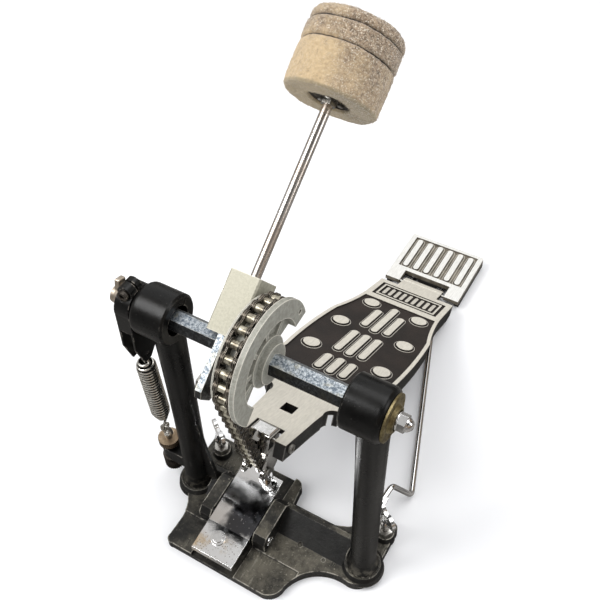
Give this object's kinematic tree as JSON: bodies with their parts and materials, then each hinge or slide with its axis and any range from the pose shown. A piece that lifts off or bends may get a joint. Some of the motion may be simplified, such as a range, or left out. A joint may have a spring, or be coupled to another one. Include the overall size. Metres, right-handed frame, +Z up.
{
  "type": "bass drum pedal",
  "caption": "Chain-drive bass drum pedal: sloped footboard on a heel plate, cam and felt beater on a hex axle between two pillars, side return spring, hoop clamp and floor spurs.",
  "frame": {"origin": "base underside, in the footboard's centre plane, below the axle", "axes": "+X along the axle towards the side with no spring; -Y towards the drum, +Y towards the heel; +Z up"},
  "size_m": [0.2215, 0.4063, 0.3679],
  "materials": {
    "black_paint": "satin black paint, worn to grey-brown on the base",
    "zinc": "zinc plated, mottled",
    "steel": "satin steel",
    "chrome": "chrome, lightly pitted",
    "spring_wire": "bright plated wire",
    "yellow_zinc": "yellow zinc plated",
    "brass": "dull brown nickel-brass",
    "grey_paint": "satin grey paint",
    "block_metal": "bead blasted, warm grey",
    "chain_steel": "dark oiled steel with pale rollers",
    "felt": "hard pressed felt, stained",
    "board": "ground aluminium with a dark brown recess and black skirts",
    "heel": "ground aluminium",
    "rubber": "matt black rubber"
  },
  "bodies": {
    "base": {"base_casting": "black_paint", "left_pillar": "black_paint", "right_pillar": "black_paint", "pillar_bolts": "steel", "bearing_outer_rings": "steel", "right_bearing_cap": "yellow_zinc", "left_bearing_cap": "steel", "clamp_pivot_pin": "chrome", "spur_nuts": "steel", "heel_plate": "heel", "heel_pads": "rubber", "hinge_pin": "steel", "stabiliser_wire": "chrome", "wire_saddle": "steel", "spring_eye_bolt": "steel"},
    "rocker": {"hex_axle": "zinc", "bearing_inner_rings": "steel", "bearing_balls": "steel", "axle_dome_nut": "chrome", "chain_cam": "grey_paint", "cam_set_screw": "steel", "chain_cam_run": "chain_steel", "beater_block": "block_metal", "balance_arm": "zinc", "block_screw": "steel", "arm_bolt": "steel", "beater_set_screw": "steel", "spring_lever": "black_paint", "lever_clamp_screw": "steel", "lever_pin": "steel", "lever_washer": "steel"},
    "beater": {"beater_shaft": "chrome", "felt_lower": "felt", "felt_middle": "felt", "felt_cap": "felt", "beater_washer": "steel", "beater_screws": "steel", "beater_nuts": "steel"},
    "chain_link_1": {"chain_link_1": "chain_steel"},
    "chain_link_2": {"chain_link_2": "chain_steel"},
    "chain_link_3": {"chain_link_3": "chain_steel"},
    "chain_link_4": {"chain_link_4": "chain_steel"},
    "chain_drop": {"chain_drop_run": "chain_steel", "toe_pin": "steel"},
    "footboard": {"footboard": "board", "toe_clip": "chrome", "toe_clip_screw": "steel"},
    "spring_foot": {"return_spring": "spring_wire", "spring_lower_hook": "spring_wire"},
    "spring_head": {"spring_upper_hook": "spring_wire"},
    "lever_wing_nut": {"lever_wing_nut": "brass"},
    "tension_nut": {"tension_nut": "brass"},
    "lock_nut": {"lock_nut": "brass"},
    "clamp_plate": {"clamp_plate": "chrome", "clamp_jaw": "rubber", "clamp_rivet": "chrome"},
    "clamp_screw": {"clamp_screw": "chrome"},
    "left_spur": {"left_spur": "yellow_zinc"},
    "right_spur": {"right_spur": "yellow_zinc"}
  },
  "joints": [
    {"name": "beater_swing", "type": "hinge", "parent": "base", "child": "rocker", "pos_m": [0, 0, 0.214], "axis": [1, 0, 0], "range_deg": [0, 50.96], "stiffness_Nm_per_rad": 0.5, "springref_deg": -34.38},
    {"name": "footboard_press", "type": "hinge", "parent": "base", "child": "footboard", "pos_m": [0, 0.277, 0.0096], "axis": [1, 0, 0], "range_deg": [0, 6.84]},
    {"name": "chain_bend_1", "type": "hinge", "parent": "rocker", "child": "chain_link_1", "pos_m": [-0.002, -0.02659, 0.24115], "axis": [1, 0, 0], "range_deg": [-7.22, 0]},
    {"name": "chain_bend_2", "type": "hinge", "parent": "chain_link_1", "child": "chain_link_2", "pos_m": [-0.002, -0.0325, 0.23368], "axis": [1, 0, 0], "range_deg": [-14.42, 0]},
    {"name": "chain_bend_3", "type": "hinge", "parent": "chain_link_2", "child": "chain_link_3", "pos_m": [-0.002, -0.03638, 0.22498], "axis": [1, 0, 0], "range_deg": [-14.42, 0]},
    {"name": "chain_bend_4", "type": "hinge", "parent": "chain_link_3", "child": "chain_link_4", "pos_m": [-0.002, -0.03797, 0.21559], "axis": [1, 0, 0], "range_deg": [-14.42, 0]},
    {"name": "chain_drop_bend", "type": "hinge", "parent": "chain_link_4", "child": "chain_drop", "pos_m": [-0.002, -0.03717, 0.2061], "axis": [1, 0, 0], "range_deg": [-7.22, 0]},
    {"name": "spring_tilt", "type": "hinge", "parent": "base", "child": "spring_foot", "pos_m": [-0.099, -0.004, 0.066], "axis": [1, 0, 0], "range_deg": [-18.54, 0]},
    {"name": "spring_stretch", "type": "slide", "parent": "spring_foot", "child": "spring_head", "axis": [0, -0.0234, 0.9997], "range_m": [0, 0.01721], "deforming": ["return_spring"]},
    {"name": "beater_height", "type": "slide", "parent": "rocker", "child": "beater", "axis": [0, 0.809, 0.5878], "range_m": [0, 0.02]},
    {"name": "lever_wing_nut_turn", "type": "hinge", "parent": "rocker", "child": "lever_wing_nut", "pos_m": [-0.112, 0, 0.214], "axis": [-1, 0, 0], "range_deg": [-90, 90]},
    {"name": "tension_nut_turn", "type": "hinge", "parent": "base", "child": "tension_nut", "pos_m": [-0.099, -0.004, 0.049], "axis": [0, 0, 1], "range_deg": [-180, 180]},
    {"name": "lock_nut_turn", "type": "hinge", "parent": "base", "child": "lock_nut", "pos_m": [-0.099, -0.004, 0.021], "axis": [0, 0, 1], "range_deg": [-180, 180]},
    {"name": "clamp_rock", "type": "hinge", "parent": "base", "child": "clamp_plate", "pos_m": [-0.022, -0.028, 0.018], "axis": [-1, 0, 0], "range_deg": [-3, 5]},
    {"name": "clamp_screw_travel", "type": "slide", "parent": "clamp_plate", "child": "clamp_screw", "axis": [0, 0, 1], "range_m": [-0.0022, 0.0036]},
    {"name": "left_spur_travel", "type": "slide", "parent": "base", "child": "left_spur", "axis": [0, 0, 1], "range_m": [0, 0.008]},
    {"name": "right_spur_travel", "type": "slide", "parent": "base", "child": "right_spur", "axis": [0, 0, 1], "range_m": [0, 0.008]}
  ],
  "couplings": [
    {"joint": "footboard_press", "follows": "beater_swing", "ratio": 0.13394},
    {"joint": "chain_bend_1", "follows": "beater_swing", "ratio": -0.14129},
    {"joint": "chain_bend_2", "follows": "beater_swing", "ratio": -0.28257},
    {"joint": "chain_bend_3", "follows": "beater_swing", "ratio": -0.28257},
    {"joint": "chain_bend_4", "follows": "beater_swing", "ratio": -0.28257},
    {"joint": "chain_drop_bend", "follows": "beater_swing", "ratio": -0.14129},
    {"joint": "spring_tilt", "follows": "beater_swing", "ratio": -0.36348},
    {"joint": "spring_stretch", "follows": "beater_swing", "m_per_rad": 0.019337},
    {"joint": "clamp_screw_travel", "follows": "clamp_rock", "m_per_rad": 0.037}
  ]
}
